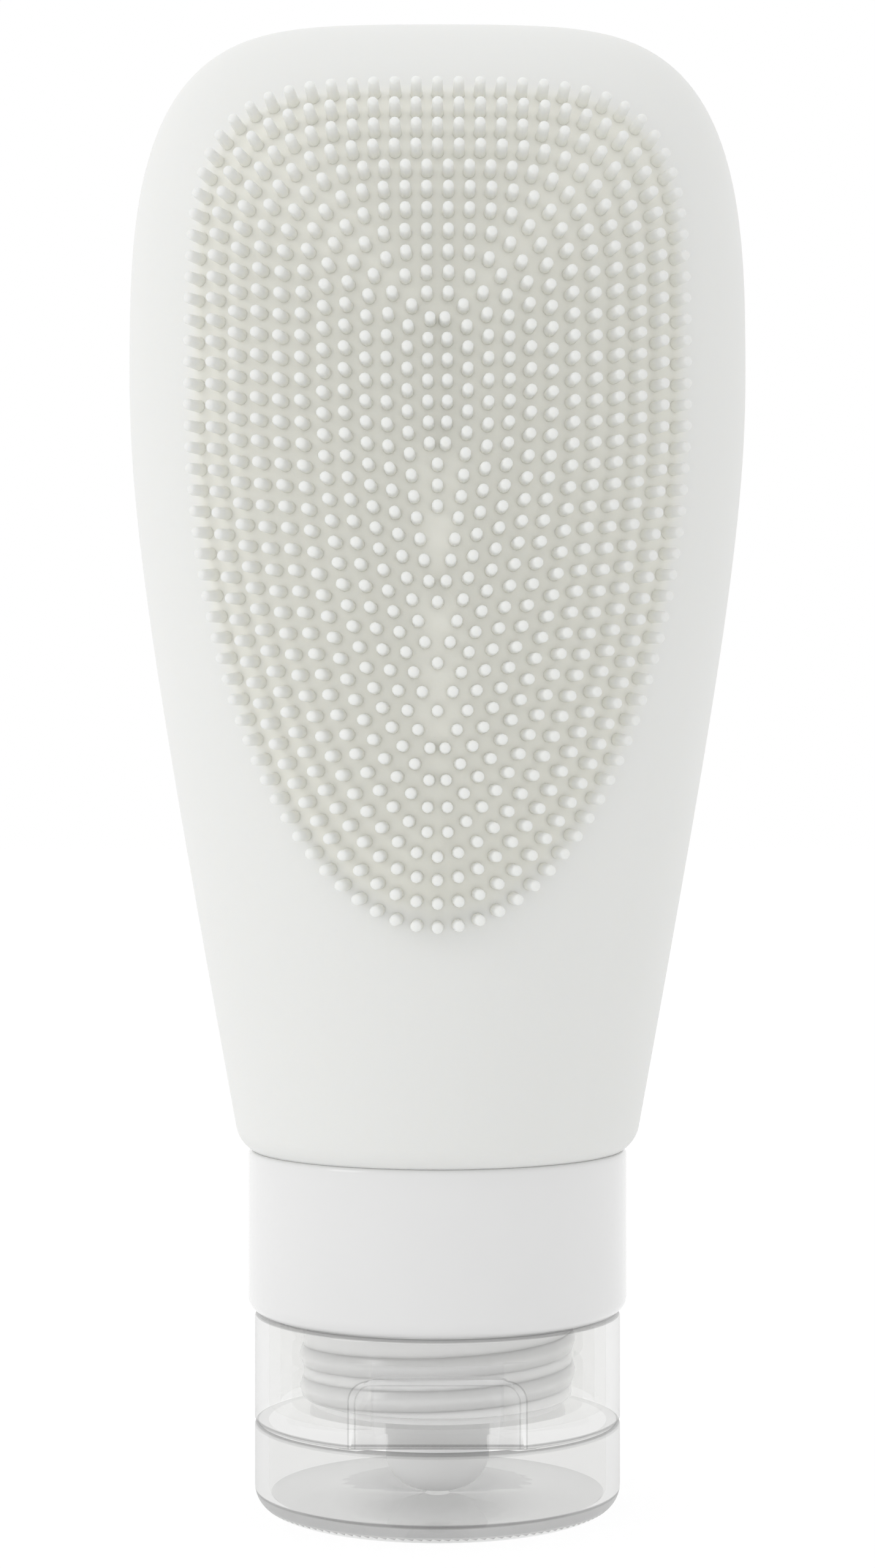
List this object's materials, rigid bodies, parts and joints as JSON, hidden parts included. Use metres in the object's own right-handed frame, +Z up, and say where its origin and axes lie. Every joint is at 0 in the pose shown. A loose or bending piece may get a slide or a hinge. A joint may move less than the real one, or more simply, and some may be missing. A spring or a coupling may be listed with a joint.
{
  "type": "silicone travel bottle",
  "caption": "Soft silicone travel bottle with a bristled front, white collar and neck, and a clear screw cap with a flip lid, standing on its lid.",
  "frame": {"origin": "centre of the lid's flat bottom, on the cap's axis", "axes": "+Z up from the lid to the bottle's rounded end, -Y the bristled front, +X the viewer's right"},
  "size_m": [0.058, 0.0426, 0.14],
  "materials": {
    "silicone": "satin, slightly translucent white silicone",
    "white_plastic": "gloss white plastic",
    "neck_plastic": "gloss white plastic",
    "valve_silicone": "satin white silicone",
    "clear_plastic": "clear polished plastic"
  },
  "bodies": {
    "bottle": {"bottle_body": "silicone", "collar": "white_plastic", "threaded_neck": "neck_plastic"},
    "valve": {"valve": "valve_silicone"},
    "cap": {"cap_base": "clear_plastic"},
    "lid": {"flip_lid": "clear_plastic"}
  },
  "joints": [
    {"name": "cap_travel", "type": "slide", "parent": "bottle", "child": "valve", "axis": [0, 0, -1], "range_m": [0, 0.006]},
    {"name": "cap_turn", "type": "hinge", "parent": "valve", "child": "cap", "pos_m": [0, 0, 0.009], "axis": [0, 0, -1], "range_deg": [0, 720]},
    {"name": "lid_hinge", "type": "hinge", "parent": "cap", "child": "lid", "pos_m": [0, 0.01885, 0.00835], "axis": [1, 0, 0], "range_deg": [0, 150]}
  ],
  "couplings": [
    {"joint": "cap_travel", "follows": "cap_turn", "m_per_rad": 0.00047746}
  ]
}
